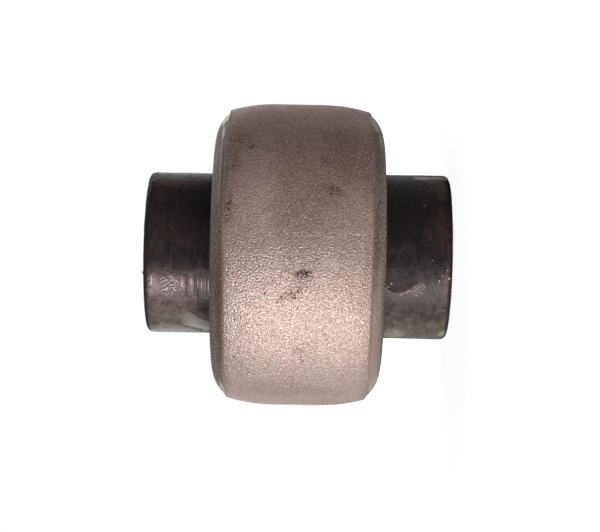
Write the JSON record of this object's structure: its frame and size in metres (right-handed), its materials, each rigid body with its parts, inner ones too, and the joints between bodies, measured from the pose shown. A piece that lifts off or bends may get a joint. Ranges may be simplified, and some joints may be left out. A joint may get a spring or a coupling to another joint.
{
  "type": "rubber metal bush",
  "caption": "Suspension arm bush: a crowned steel outer sleeve with rolled-in ends, bonded rubber with collars out of both ends, and a steel sleeve for the bolt.",
  "frame": {"origin": "middle of the bolt bore, which is also the middle of the length", "axes": "+Z along the bush axis, towards the collar that is slightly smaller; the bush stands on its other end"},
  "size_m": [0.045, 0.045, 0.0448],
  "materials": {
    "outer_steel": "shot-blasted and phosphated, lightly rusted, brownish grey",
    "rubber": "moulded black rubber, dusty, satin",
    "inner_steel": "turned, dull grey"
  },
  "bodies": {
    "root": {"outer_sleeve": "outer_steel", "rubber_body": "rubber", "inner_sleeve": "inner_steel"}
  },
  "joints": []
}
